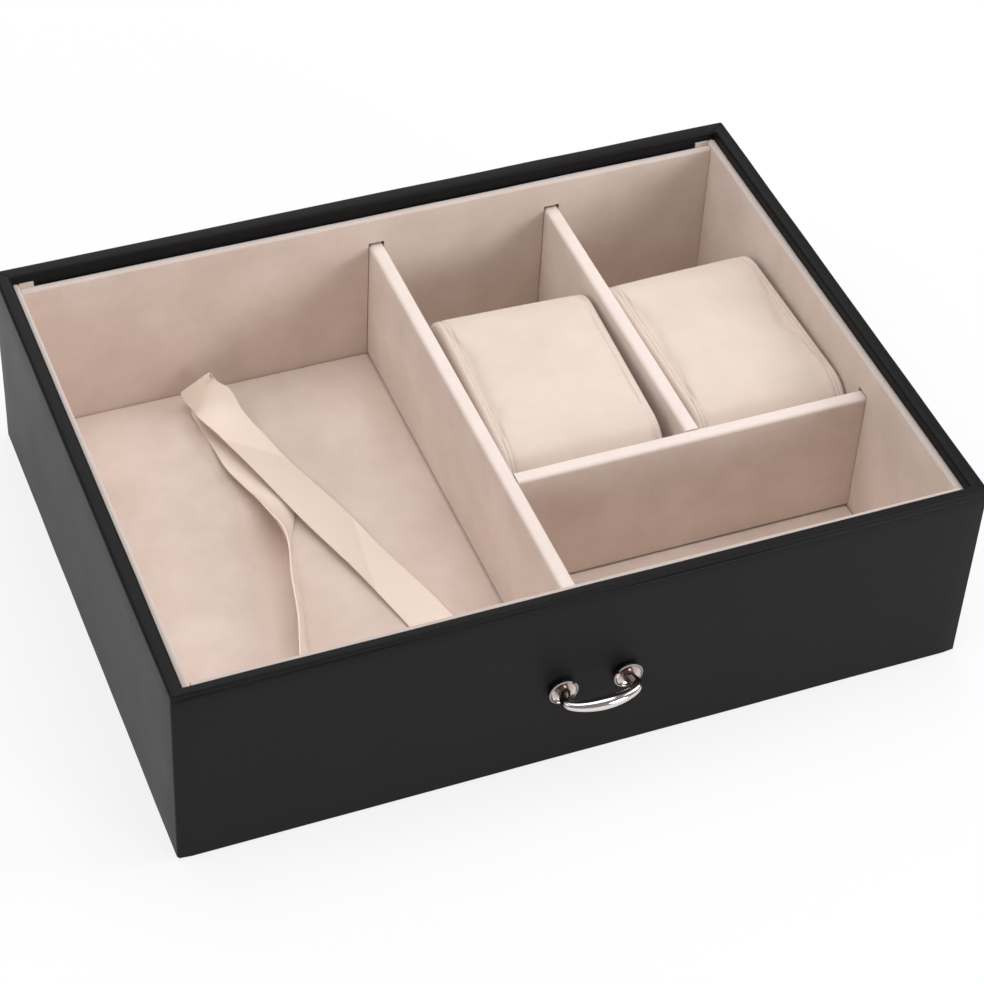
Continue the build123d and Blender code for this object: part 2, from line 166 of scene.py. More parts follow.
def sheet_along(profile, stations):
    """A sheet with this profile, drawn along X through the stations. Profile points are (y, z)."""
    sheet = bmesh.new()
    points = [sheet.verts.new((stations[0], y, z)) for y, z in profile]
    edges = [sheet.edges.new(pair) for pair in zip(points, points[1:])]
    for before, after in zip(stations, stations[1:]):
        made = bmesh.ops.extrude_edge_only(sheet, edges=edges)["geom"]
        fresh = [part for part in made if isinstance(part, bmesh.types.BMVert)]
        bmesh.ops.translate(sheet, verts=fresh, vec=(after - before, 0, 0))
        edges = [part for part in made if isinstance(part, bmesh.types.BMEdge)]
    return sheet


def spread(low, high, pitch, extra=()):
    """Values from low to high, about a pitch apart, with the extra ones among them."""
    marks = sorted({low, high, *[mark for mark in extra if low < mark < high]})
    values = [low]
    for before, after in zip(marks, marks[1:]):
        count = max(1, round((after - before) / pitch))
        values += [before + (after - before) * step / count for step in range(1, count + 1)]
    return values


def quarter(centre_y, centre_z, radius, start, steps=4):
    """Points of a quarter circle, clockwise from a start angle in degrees."""
    angles = [math.radians(start - 90 * step / steps) for step in range(steps + 1)]
    return [
        (centre_y + radius * math.cos(angle), centre_z + radius * math.sin(angle)) for angle in angles
    ]


def grow(shape, edges, places):
    """Extrudes a row of edges and puts the new points at these places. Gives back the new row."""
    made = bmesh.ops.extrude_edge_only(shape, edges=edges)["geom"]
    fresh = [part for part in made if isinstance(part, bmesh.types.BMVert)]
    for point, place in zip(fresh, places):
        point.co = place
    return [part for part in made if isinstance(part, bmesh.types.BMEdge)]


def ripple(sheet, amount, size, seed):
    """Moves points along their normals by a smooth, repeatable noise."""
    sheet.normal_update()
    shifts = [
        (point, point.normal * noise.noise(point.co / size + seed) * amount) for point in sheet.verts
    ]
    for point, shift in shifts:
        point.co += shift


def make_piece(name, shape, finish, body="drawer"):
    """Puts a mesh into the scene as a piece that rides on a body."""
    mesh = bpy.data.meshes.new(name)
    shape.to_mesh(mesh)
    shape.free()
    mesh.materials.append(finish.material)
    piece = bpy.data.objects.new(name, mesh)
    bpy.context.scene.collection.objects.link(piece)
    piece.data.shade_smooth()
    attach(piece, body)
    return piece


def thicken(piece, thickness):
    """Gives a sheet its thickness on the side away from its normals."""
    wall = piece.modifiers.new("thickness", "SOLIDIFY")
    wall.thickness = thickness
    wall.offset = -1
    wall.use_even_offset = True
    bake(piece)


def bake(piece, crisp=50):
    """Applies a piece's modifiers. Edges that turn by more than this angle stay crisp."""
    graph = bpy.context.evaluated_depsgraph_get()
    mesh = bpy.data.meshes.new_from_object(piece.evaluated_get(graph))
    piece.modifiers.clear()
    piece.data = mesh
    mesh.shade_smooth()
    mesh.set_sharp_from_angle(angle=math.radians(crisp))


def face_out(sheet, away, measure=lambda face: face.calc_area()):
    """Turns all the faces of a sheet so that the one of the greatest measure looks this way."""
    sheet.normal_update()
    bmesh.ops.recalc_face_normals(sheet, faces=sheet.faces)
    chosen = max(sheet.faces, key=measure)
    if chosen.normal.dot(away) < 0:
        bmesh.ops.reverse_faces(sheet, faces=sheet.faces)


leather_sheet = 0.0005
rim_round = 0.0011
wall_corner_round = 0.0010
sharpest_corner = 0.0003
inner_corner_round = 0.0003
mitre_depth = 0.00018
turn_down = 0.020
inside_width, inside_front, inside_back = 0.260, -0.098, 0.097
corner_steps = 4
wall_steps = (20, 26, 20, 26)
outer_low, outer_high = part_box("leather_wrap")
inner_low = Vector((-inside_width / 2, inside_front, outer_high.z - turn_down))
inner_high = Vector((inside_width / 2, inside_back, outer_high.z))
wall_top = outer_high.z


def wall_ring(low, high, inset, corner, z, mitre=0.0):
    """Points round the drawer at one height. A mitre presses the middle point of each corner in."""
    x0, y0, x1, y1 = low.x + inset, low.y + inset, high.x - inset, high.y - inset
    places = []
    for x, y, turn in ((x1, y0, -90), (x1, y1, 0), (x0, y1, 90), (x0, y0, 180)):
        centre = Vector((x - math.copysign(corner, x), y - math.copysign(corner, y), z))
        for step in range(corner_steps + 1):
            angle = math.radians(turn + 90 * step / corner_steps)
            sunk = mitre if step == corner_steps / 2 else 0.0
            places.append(centre + Vector((corner * math.cos(angle), corner * math.sin(angle), -sunk)))
    points = []
    for index, count in enumerate(wall_steps):
        first = (corner_steps + 1) * index
        last = first + corner_steps
        points += places[first:last + 1]
        start, end = places[last], places[(last + 1) % len(places)]
        points += [start.lerp(end, step / count) for step in range(1, count)]
    return points


rounding = [(rim_round * (1 - math.cos(math.radians(turn))), rim_round * math.sin(math.radians(turn)))
            for turn in (0, 22.5, 45, 67.5, 90)]
below_rim = wall_top - rim_round
rings = [wall_ring(outer_low, outer_high, 0.0, wall_corner_round, z)
         for z in spread(outer_low.z, below_rim, pitch=0.009)[:-1]]
for inset, rise in rounding:
    sunk = mitre_depth * rise / rim_round
    corner = max(wall_corner_round - inset, sharpest_corner)
    rings.append(wall_ring(outer_low, outer_high, inset, corner, below_rim + rise, sunk))
for inset, rise in reversed(rounding):
    sunk = mitre_depth * rise / rim_round
    corner = inner_corner_round + inset
    rings.append(wall_ring(inner_low, inner_high, -inset, corner, below_rim + rise, sunk))
rings += [wall_ring(inner_low, inner_high, 0.0, inner_corner_round, z)
          for z in reversed(spread(inner_low.z, below_rim, pitch=0.007)[:-1])]

wrap = bmesh.new()
first_ring = [wrap.verts.new(place) for place in rings[0]]
row = [wrap.edges.new(pair) for pair in zip([first_ring[-1], *first_ring], first_ring)]
for places in rings[1:]:
    row = grow(wrap, row, places)
face_out(wrap, Vector((0, 0, 1)), lambda face: face.calc_center_median().z)
ripple(wrap, amount=0.00016, size=0.028, seed=Vector((5, 0, 0)))
wrapped_leather = make_piece("wrapped_leather", wrap, leather)
thicken(wrapped_leather, leather_sheet)
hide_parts("leather_wrap")

facing_low, facing_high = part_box("front_facing")
facing_edge = 0.0010
facing_sheet = 0.0004
pull_middle = 0.0015
pull_height = 0.0336
half_spacing = 0.011
screw_hole = 0.003
edge_profile = [
    (facing_low.y + facing_sheet * share ** 2, facing_high.z - facing_edge * (1 - share))
    for share in (0.4, 0.7, 1)
]
heights = spread(facing_low.z, facing_high.z - facing_edge, pitch=0.004)
foot_profile = [(facing_low.y, z) for z in heights]
front_sheet = sheet_along(foot_profile + edge_profile, spread(facing_low.x, facing_high.x, pitch=0.004))
for side in (-1, 1):
    axis = Vector((pull_middle + side * half_spacing, 0, pull_height))
    under = [face for face in front_sheet.faces
             if (face.calc_center_median() - axis).xz.length < screw_hole]
    bmesh.ops.delete(front_sheet, geom=under, context="FACES")
face_out(front_sheet, Vector((0, -1, 0)))
for point in front_sheet.verts:
    near_end = min(point.co.x - facing_low.x, facing_high.x - point.co.x)
    point.co.y += facing_sheet * max(0.0, 1 - near_end / facing_edge)
ripple(front_sheet, amount=0.00010, size=0.035, seed=Vector((0, 0, 9)))
facing = make_piece("facing_leather", front_sheet, leather)
thicken(facing, facing_sheet)
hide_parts("front_facing")

under_low, under_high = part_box("underside_sheet")
unevenness = 0.00004
cut_edge = [(y, under_low.z + unevenness) for y in spread(under_low.y, under_high.y, pitch=0.006)]
under_sheet = sheet_along(cut_edge, spread(under_low.x, under_high.x, pitch=0.006))
face_out(under_sheet, Vector((0, 0, -1)))
ripple(under_sheet, amount=unevenness, size=0.040, seed=Vector((0, 7, 0)))
underside = make_piece("underside_leather", under_sheet, leather)
thicken(underside, under_high.z - under_low.z - unevenness)
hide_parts("underside_sheet")


# Lining: each wall has a card panel with velvet glued on its face and over its top edge. It lies
# nearly flat and is slit where a divider goes in. The side walls' velvet turns the rear corners
# and goes on behind the back wall's.
card = Finish("card", {"Roughness": 0.9})
fibres = card.cloud(card.place(), 1200.0, 3.0)
card.surface({
    "Base Color": card.tint(fibres, (0.30, 0.25, 0.20, 1), (0.40, 0.34, 0.27, 1)),
    "Normal": card.bump(fibres, 0.00005),
})
dress(card, "left_liner_card", "right_liner_card", "back_liner_card", "front_liner_card")


def velvet_finish(name, shade, light):
    """Short-pile velvet: a fine nap, and broad soft patches where the pile lies another way."""
    finish = Finish(name, {
        "Roughness": 0.95, "Specular IOR Level": 0.15, "Sheen Weight": 0.25, "Sheen Roughness": 0.45,
    })
    where = finish.place()
    nap = finish.cloud(where, 2400.0, 3.0, 0.65)
    brushed = finish.cloud(where, 45.0, 5.0, 0.62)
    share = (brushed - 0.5) * 1.7 + 0.35 + nap * 0.3
    finish.pile = finish.tint(share, shade, light)
    finish.surface({
        "Base Color": finish.pile,
        "Normal": finish.bump(nap * 0.8 + finish.cloud(where, 500.0, 2.0) * 0.2, 0.00022, 0.6),
    })
    return finish


# The velvet's colour is painted lighter on the up-facing divider tops, a painted highlight where light
# falls on them from above.
# On the top edges of the walls, which stand higher, it is painted darker, a painted shade as from the
# leather rim beside them.
velvet = velvet_finish("beige_velvet", (0.64, 0.52, 0.45, 1), (0.78, 0.665, 0.60, 1))
# Mask of up-facing velvet, for the painted highlight and painted shade below.
facing_up = velvet.rise(velvet.along(velvet.node("NewGeometry", {}, {}, "Normal"), 2), 0.4, 0.8)
level = velvet.along(velvet.place(), 2)
# Painted highlight: up-facing velvet from the divider tops' height upwards is mixed towards a lighter
# colour.
painted_highlight_on_divider_tops = facing_up * velvet.rise(level, 0.0500, 0.0550)
# Painted shade: up-facing velvet at the top edges of the walls is mixed towards a darker colour.
painted_shade_on_wall_tops = facing_up * velvet.rise(level, 0.0600, 0.0640)
with_painted_highlight = velvet.tint(painted_highlight_on_divider_tops * 0.5, velvet.pile, (0.85, 0.75, 0.73, 1))
velvet.surface({"Base Color": velvet.tint(painted_shade_on_wall_tops * 0.85, with_painted_highlight, (0.53, 0.46, 0.43, 1))})

skin = 0.0007
fold_radius = 0.0012
back_slope = 0.0005
slit_width = 0.0058
slit_foot = 0.0084
slit_top = 0.0584
long_divider_x = -0.0006
short_divider_x = 0.0659
cross_divider_y = -0.0317
side_thickness = 0.0025


def turn_behind(sheet, wall, low, high):
    """Turns the back end of a side wall's velvet round the corner, behind the back wall's velvet."""
    ends = (low.x + side_thickness, high.x) if wall == "left" else (low.x, high.x - side_thickness)
    columns = [
        [sheet.verts.new((x, high.y - skin, z)) for z in spread(low.z, high.z, pitch=0.004)]
        for x in spread(*ends, pitch=0.0025)
    ]
    for one, other in zip(columns, columns[1:]):
        for row in range(len(one) - 1):
            sheet.faces.new((one[row], other[row], other[row + 1], one[row + 1]))
    return ends[1] - ends[0]


def lining_velvet(wall, turn, slits):
    """Velvet of one lined wall: up the face of its card, round the top edge and onto the leather.

    The sheet is made along X with its face towards -Y, as for the back wall, then turned about Z.
    """
    low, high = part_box(wall + "_liner_velvet")
    back = Matrix.Rotation(math.radians(-turn), 4, "Z")
    corners = [back @ Vector((x, y, 0)) for x in (low.x, high.x) for y in (low.y, high.y)]
    start, end = min(c.x for c in corners), max(c.x for c in corners)
    face, rear = min(c.y for c in corners), max(c.y for c in corners)
    if wall in ("left", "right"):
        face = rear - side_thickness
    heights = spread(low.z, high.z - fold_radius, 0.004, (slit_foot, slit_top))
    profile = [(face, z) for z in heights]
    profile += quarter(face + fold_radius, high.z - fold_radius, fold_radius, 180)[1:]
    profile.append((rear, high.z - back_slope))
    slit_edges = [slit + side * slit_width / 2 for slit in slits for side in (-1, 1)]
    sheet = sheet_along(profile, spread(start, end, 0.004, slit_edges))
    gone = []
    for panel in sheet.faces:
        middle = panel.calc_center_median()
        in_slit = any(abs(middle.x - slit) < slit_width / 2 for slit in slits)
        if in_slit and slit_foot < middle.z < slit_top:
            gone.append(panel)
    bmesh.ops.delete(sheet, geom=gone, context="FACES")
    face_out(sheet, Vector((0, -1, 0)))
    ripple(sheet, amount=0.00012, size=0.030, seed=Vector((turn, 0, 3)))
    round_z = Matrix.Rotation(math.radians(turn), 3, "Z")
    bmesh.ops.rotate(sheet, verts=sheet.verts, cent=(0, 0, 0), matrix=round_z)
    width = end - start
    if wall in ("left", "right"):
        width += turn_behind(sheet, wall, low, high)
    piece = make_piece(wall + "_wall_velvet", sheet, velvet)
    thicken(piece, skin)
    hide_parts(wall + "_liner_velvet")


lining_velvet("back", 0, (long_divider_x, short_divider_x))
lining_velvet("right", -90, (-cross_divider_y,))
lining_velvet("left", 90, ())
lining_velvet("front", 180, (-long_divider_x,))


# Floor: a card with a thin padded velvet sheet on it, pushed down between the linings. Its edge is
# rounded where it dips beside a wall or a divider.
dress(card, "floor_card")
floor_low, floor_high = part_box("floor_velvet")
floor_edge = 0.0015
floor_dip = 0.0007
dip_width = 0.0016
floor_unevenness = 0.00010
divider_half = 0.0026
floor_middle = (floor_low + floor_high) / 2
floor_size = floor_high - floor_low

pad = bmesh.new()
bmesh.ops.create_cube(pad, size=1.0)
bmesh.ops.scale(pad, verts=pad.verts, vec=floor_size)
bmesh.ops.translate(pad, verts=pad.verts, vec=floor_middle)
rim = [edge for edge in pad.edges if all(point.co.z > floor_middle.z for point in edge.verts)]
bmesh.ops.bevel(pad, geom=rim, offset=floor_edge, segments=3, profile=0.5, affect="EDGES", material=-1)
for index, dividers in enumerate(((long_divider_x, short_divider_x), (cross_divider_y,))):
    beside = [
        divider + side * (divider_half + gap)
        for divider in dividers for side in (-1, 1) for gap in (0.0, 0.0006, 0.0015)
    ]
    normal = Vector((index == 0, index == 1, 0))
    for mark in spread(floor_low[index], floor_high[index], 0.004, beside)[1:-1]:
        everything = [*pad.verts, *pad.edges, *pad.faces]
        bmesh.ops.bisect_plane(pad, geom=everything, plane_co=normal * mark, plane_no=normal, dist=1e-7)


def dip_beside(divider, place):
    """How far the pad's face dips at a place beside a divider."""
    distance = max(0.0, abs(place - divider) - divider_half)
    return floor_dip * max(0.0, 1.0 - distance / dip_width) ** 2


for point in pad.verts:
    if point.co.z > floor_middle.z:
        x, y = point.co.x, point.co.y
        dip = dip_beside(long_divider_x, x)
        if x > long_divider_x:
            dip = max(dip, dip_beside(cross_divider_y, y))
            if y > cross_divider_y:
                dip = max(dip, dip_beside(short_divider_x, x))
        soft = floor_unevenness * (1.0 + noise.noise(point.co / 0.035))
        point.co.z -= dip + soft
floor_pad = make_piece("floor_pad", pad, velvet)
floor_pad.data.set_sharp_from_angle(angle=math.radians(60))
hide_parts("floor_velvet")


# Dividers: card boards, each in a velvet sleeve that is folded over the top edge. Their ends go
# into slits of the linings, and they stand on the floor pad.
dress(card, "long_divider_board", "cross_divider_board", "short_divider_board")
sleeve_round = 0.0013
sleeve_skin = 0.0008


def divider_sleeve(which, lengthwise):
    """The sleeve of one divider, made along X and turned to run front to back where that is so."""
    low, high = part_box(which + "_divider_sleeve")
    middle_x = (low.x + high.x) / 2
    middle_y = (low.y + high.y) / 2
    length = high.y - low.y if lengthwise else high.x - low.x
    height = high.z - low.z
    side = spread(0.0, height - sleeve_round, pitch=0.004)
    profile = [(-divider_half, z) for z in side]
    profile += quarter(-divider_half + sleeve_round, height - sleeve_round, sleeve_round, 180)[1:]
    profile += quarter(divider_half - sleeve_round, height - sleeve_round, sleeve_round, 90)
    profile += [(divider_half, z) for z in reversed(side[:-1])]
    sheet = sheet_along(profile, spread(-length / 2, length / 2, pitch=0.004))
    sheet.normal_update()
    if sum(face.normal.y * face.calc_center_median().y for face in sheet.faces) < 0:
        bmesh.ops.reverse_faces(sheet, faces=sheet.faces)
    ripple(sheet, amount=0.00010, size=0.028, seed=Vector((length * 100, 0, 0)))
    if lengthwise:
        round_z = Matrix.Rotation(math.pi / 2, 3, "Z")
        bmesh.ops.rotate(sheet, verts=sheet.verts, cent=(0, 0, 0), matrix=round_z)
    bmesh.ops.translate(sheet, verts=sheet.verts, vec=(middle_x, middle_y, low.z))
    piece = make_piece(which + "_divider_velvet", sheet, velvet)
    thicken(piece, sleeve_skin)
    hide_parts(which + "_divider_sleeve")


divider_sleeve("long", True)
divider_sleeve("cross", False)
divider_sleeve("short", True)


# Watch pillows: foam blocks in velvet, each with one strip wrapped round its front, top, back and
# bottom, and a padded cap sewn in at each end. The seams draw the cloth in.
pillow_velvet = velvet_finish("pillow_velvet", (0.652, 0.54, 0.473, 1), (0.738, 0.62, 0.546, 1))
foam = Finish("foam", {"Roughness": 1.0})
cells = foam.node("TexVoronoi", {}, {"Vector": foam.place(), "Scale": 900.0})
foam.surface({
    "Base Color": foam.tint(cells, (0.80, 0.76, 0.66, 1), (0.90, 0.87, 0.79, 1)),
    "Normal": foam.bump(cells, 0.0002),
})

pillow_width = 0.0565
pillow_length = 0.0865
pillow_height = 0.046
pillow_corner = 0.014
pillow_seam = pillow_width / 2 - 0.003
seam_depth = 0.0005
seam_apart = 0.0006
stitch_unevenness = 0.35
cap_round = 0.0022
cap_shares = (0.86, 0.86, 0.82, 0.75, 0.6, 0.3)
crown = 0.0011
swell_limit = 0.0012
sag_limit = 0.0001
cloth_frames = 20


def pillow_outline(inset, count=76):
    """Points (y, z) round the pillow seen along X: a rounded rectangle, drawn in by the inset."""
    radius = pillow_corner - inset
    flat_y = pillow_length / 2 - pillow_corner
    flat_z = pillow_height / 2 - pillow_corner
    arc = radius * math.pi / 2
    around = 4 * flat_y + 4 * flat_z + 4 * arc
    points = []
    for step in range(count):
        along = around * step / count
        for (centre_y, centre_z, turn, run) in (
            (flat_y, flat_z, 0, 2 * flat_y),
            (-flat_y, flat_z, 90, 2 * flat_z),
            (-flat_y, -flat_z, 180, 2 * flat_y),
            (flat_y, -flat_z, 270, 2 * flat_z),
        ):
            if along < arc:
                angle = math.radians(turn) + along / radius
                points.append((
                    centre_y + radius * math.cos(angle), centre_z + radius * math.sin(angle),
                ))
                break
            along -= arc
            if along < run:
                angle = math.radians(turn + 90)
                side = (-math.sin(angle), math.cos(angle))
                points.append((
                    centre_y + radius * math.cos(angle) + side[0] * along,
                    centre_z + radius * math.sin(angle) + side[1] * along,
                ))
                break
            along -= run
    return points


def cap_inset(x):
    """How far the outline is drawn in at a place across the pillow, by the round of its caps."""
    beyond = abs(x) - (pillow_width / 2 - cap_round)
    if beyond <= 0:
        return 0.0
    return cap_round - math.sqrt(max(0.0, cap_round ** 2 - beyond ** 2))


def watch_pillow(side, turn):
    """One pillow's cover as a closed mesh, blown up, sewn, and turned by a few degrees in its well."""
    node = side + "_pillow"
    low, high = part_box(node + "_cover")
    cap_low, cap_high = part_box(node + "_left_cap")[0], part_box(node + "_right_cap")[1]
    middle = Vector(((cap_low.x + cap_high.x) / 2, (low.y + high.y) / 2, low.z + pillow_height / 2))
    marks = [pillow_seam + gap * seam_apart for gap in (-2, -1, 0, 1, 2)]
    marks += [pillow_width / 2 - cap_round * share for share in (1, 0.5, 0.2)]
    marks += [-mark for mark in marks]
    stations = spread(-pillow_width / 2, pillow_width / 2, 0.0028, marks)
    cloth = bmesh.new()
    ring = [cloth.verts.new((stations[0], y, z)) for y, z in pillow_outline(cap_inset(stations[0]))]
    first_end = [cloth.edges.new(pair) for pair in zip([ring[-1], *ring], ring)]
    edges = first_end
    for station in stations[1:]:
        outline = pillow_outline(cap_inset(station))
        edges = grow(cloth, edges, [(station, y, z) for y, z in outline])
    for edges in (first_end, edges):
        for share in cap_shares:
            made = bmesh.ops.extrude_edge_only(cloth, edges=edges)["geom"]
            fresh = [part for part in made if isinstance(part, bmesh.types.BMVert)]
            edges = [part for part in made if isinstance(part, bmesh.types.BMEdge)]
            bmesh.ops.scale(cloth, verts=fresh, vec=(1, share, share))
        bmesh.ops.pointmerge(cloth, verts=fresh, merge_co=(fresh[0].co.x, 0, 0))
    bmesh.ops.recalc_face_normals(cloth, faces=cloth.faces)
    piece = make_piece(node + "_velvet", cloth, pillow_velvet, node)
    start = [(point.co.copy(), point.normal.copy()) for point in piece.data.vertices]
    inflate(piece)
    settle_pillow(piece, start)
    finer = piece.modifiers.new("smooth", "SUBSURF")
    finer.levels = finer.render_levels = 1
    bake(piece, crisp=180)
    sew_pillow(piece)
    piece.data.transform(Matrix.Translation(middle) @ Matrix.Rotation(math.radians(turn), 4, "Z"))
    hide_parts(node + "_cover", node + "_left_cap", node + "_right_cap")
    dress(foam, node + "_core")


def inflate(piece):
    """Blows the cover up a little with a short cloth run, which rounds it and wrinkles its seams."""
    cloth = piece.modifiers.new("cloth", "CLOTH")
    cloth.settings.quality = 6
    cloth.settings.mass = 0.25
    cloth.settings.use_pressure = True
    cloth.settings.uniform_pressure_force = 4.0
    cloth.settings.effector_weights.gravity = 0.0
    cloth.point_cache.frame_start = 1
    cloth.point_cache.frame_end = cloth_frames
    for step in range(1, cloth_frames + 1):
        bpy.context.scene.frame_set(step)
    bake(piece, crisp=180)


def settle_pillow(piece, start):
    """Caps the movement, keeps the pillow in its own space and flat where it rests."""
    half = Vector((pillow_width, pillow_length, pillow_height)) / 2
    for point, (before, outward) in zip(piece.data.vertices, start):
        moved = point.co - before
        if moved.length > swell_limit:
            moved *= swell_limit / moved.length
        moved -= outward * min(0.0, moved.dot(outward) + sag_limit)
        place = before + moved
        across = 1.0 - min(1.0, (place.x / half.x) ** 2)
        along = 1.0 - min(1.0, (place.y / half.y) ** 2)
        if place.z > 0:
            place.z += crown * across * along * (place.z / half.z)
        place.x = max(-half.x, min(half.x, place.x))
        place.y = max(-half.y, min(half.y, place.y))
        place.z = max(-half.z, place.z)
        point.co = place


def sew_pillow(piece):
    """Presses two rows of stitches in beside each seam, with an uneven pull from stitch to stitch."""
    shifts = []
    for point in piece.data.vertices:
        off = abs(abs(point.co.x) - pillow_seam)
        beside = min(1.0, abs(off - seam_apart) / seam_apart)
        if beside < 1.0 and point.co.z > 0.001 - pillow_height / 2:
            uneven = 1.0 + stitch_unevenness * noise.noise(point.co / 0.004)
            pull = seam_depth * (1.0 - beside) * uneven
            shifts.append((point, point.normal * pull))
    for point, shift in shifts:
        point.co -= shift


watch_pillow("left", -2.3)
watch_pillow("right", 1.2)


# Pull: a polished nickel casting on two dished rosettes, held from inside by two screws with
# washers. The plating has faint polishing marks; its colour has a painted brownish shade in the dish
# hollows and painted dark reflections on the necks.
nickel = Finish("polished_nickel", {"Metallic": 1.0})
metal = nickel.place()
rubbed = nickel.cloud(metal, 700.0, 3.0)
aside = nickel.along(metal, 0) - pull_middle
forward = nickel.along(metal, 1)
raised = nickel.along(metal, 2) - pull_height
off_axis = nickel.node("Math", {"operation": "ABSOLUTE"}, {0: aside}) - half_spacing
from_axis = (off_axis * off_axis + raised * raised) ** 0.5
near_axis = nickel.rise(from_axis, 0.0046, 0.0020)
before_dish = nickel.rise(forward, -0.1036, -0.1046)
behind_bow = nickel.rise(forward, -0.1108, -0.1082)
polish = nickel.tint(nickel.cloud(metal, 120.0), (0.66, 0.62, 0.60, 1), (0.80, 0.77, 0.75, 1))
# Painted shade: near the axis, behind the bow, the plating's colour is mixed towards a brownish tone.
with_painted_shade_in_hollows = nickel.tint(near_axis * behind_bow, polish, (0.42, 0.33, 0.28, 1))
nickel.surface({
    # Painted reflection: the necks, between the dishes and the bow, are painted nearly black, as if
    # mirroring the dark drawer front.
    "Base Color": nickel.tint(before_dish * behind_bow, with_painted_shade_in_hollows, (0.10, 0.075, 0.07, 1)),
    "Roughness": rubbed * 0.10 + 0.06 + near_axis * behind_bow * 0.14,
    "Normal": nickel.bump(rubbed, 0.00001, 0.3),
})
dress(nickel, "pull_bow", "left_rosette", "right_rosette")
zinc = Finish("zinc_plated_steel", {"Metallic": 1.0})
turned_marks = zinc.cloud(zinc.place(), 1500.0, 3.0)
zinc.surface({
    "Base Color": zinc.tint(turned_marks, (0.50, 0.50, 0.50, 1), (0.66, 0.66, 0.65, 1)),
    "Roughness": turned_marks * 0.2 + 0.25,
})
dress(zinc, "pull_screws", "pull_washers")


# Lift ribbon: one length of satin, tucked under the front lining at both ends and folded once at
# the back. Its left strand stands on edge for a stretch, and its right strand lies over it.
satin = Finish("satin_ribbon", {"Specular IOR Level": 0.4, "Sheen Weight": 0.3, "Sheen Roughness": 0.3})
threads = satin.node("UVMap", {"uv_map": "weave"}, {})
weft = satin.node(
    "TexWave", {"bands_direction": "Y"}, {"Vector": threads, "Scale": 900.0, "Distortion": 0.4},
)
shimmer = satin.cloud(threads, 60.0, 3.0)
sideways = satin.along(threads, 0)
lengthways = satin.along(threads, 1)

# Between two creases, which run aslant across it, the satin's colour is painted darker: a painted shade
# where it turns its duller way to the light. The creases are measured along the ribbon from its left
# end.
first_slant, second_slant = 1.14, 2.16
past_first = satin.rise(lengthways - sideways * first_slant, 0.2212, 0.2228)
past_second = satin.rise(lengthways + sideways * second_slant, 0.3069, 0.3087)
# Painted shade: between the creases the satin's colour is mixed towards a darker copy of itself.
painted_shade_between_creases = past_first * (1.0 - past_second)
bright_satin = satin.tint(shimmer, (0.83, 0.70, 0.61, 1), (0.91, 0.78, 0.68, 1))
satin.surface({
    "Base Color": satin.tint(painted_shade_between_creases, bright_satin, (0.80, 0.675, 0.585, 1)),
    "Roughness": 0.42 + shimmer * 0.12,
    "Normal": satin.bump(weft, 0.00003, 0.5),
})

ribbon_width = 0.015
ribbon_thickness = 0.0004
ribbon_tuck = 0.0028
ribbon_fold_radius = 0.00105
ribbon_floor = 0.0084
ribbon_low = 0.00875
edge_radius = ribbon_low - ribbon_floor
front_lining_face = -0.0955
tuck_gap = 0.0001
tuck_y = front_lining_face + tuck_gap + ribbon_thickness / 2
left_end, right_end = -0.0873, -0.0128
bend_step = 45
millimetre = 0.001

# Middle of the lower strand in millimetres and its roll in degrees, from the front to the fold.
lower_strand = (
    (-86.00, -84.00, 10.25, -8), (-82.99, -72.00, 12.36, -24), (-78.00, -58.00, 15.90, -66),
    (-73.85, -42.00, 16.10, -78), (-68.72, -20.00, 16.39, -77), (-64.33, 2.00, 16.77, -79),
    (-63.39, 15.00, 14.99, -56), (-61.81, 22.51, 13.49, -37), (-60.59, 30.00, 12.04, -20),
    (-61.92, 39.96, 10.96, -11), (-63.98, 50.00, 10.34, -7), (-64.35, 60.86, 9.31, -4),
    (-65.09, 72.00, 9.97, 13), (-66.09, 75.88, 11.62, 20), (-67.30, 79.54, 13.77, 30),
    (-68.43, 82.74, 15.92, 41), (-69.58, 85.87, 18.19, 54),
)
# The same for the upper strand, from the fold to the front.
upper_strand = (
    (-70.08, 82.32, 17.51, 45), (-67.58, 79.48, 16.67, 30), (-66.26, 76.36, 15.54, 14),
    (-65.34, 73.00, 14.48, 0), (-63.12, 65.87, 13.70, -10), (-60.42, 57.00, 13.42, -11),
    (-57.32, 46.85, 12.99, -14), (-54.51, 38.00, 12.62, -13), (-46.66, 16.00, 11.01, -5),
    (-38.84, -8.00, 10.11, -10), (-31.92, -30.00, 9.45, -3), (-25.75, -52.00, 9.05, 0),
    (-16.50, -76.00, 8.75, 0),
)


def strand_frames(points, start=None):
    """Place and cross direction at each point of a strand. The start is where it comes from."""
    places = [Vector(point[:3]) * millimetre for point in points]
    frames = []
    for index, place in enumerate(places):
        before = places[index - 1] if index else start or place
        after = places[min(index + 1, len(places) - 1)]
        run = (after - before).normalized()
        roll = math.radians(points[index][3])
        across = Vector((math.cos(roll), 0, math.sin(roll)))
        frames.append((place, (across - run * across.dot(run)).normalized()))
    return frames


def bend_frames(start, run, across, inward, radius, turn):
    """Frames round a bend that starts along run and turns towards the inward side."""
    frames = []
    for step in range(turn // bend_step + 1):
        angle = math.radians(bend_step * step)
        place = start + inward * radius * (1 - math.cos(angle)) + run * radius * math.sin(angle)
        frames.append((place, across))
    return frames


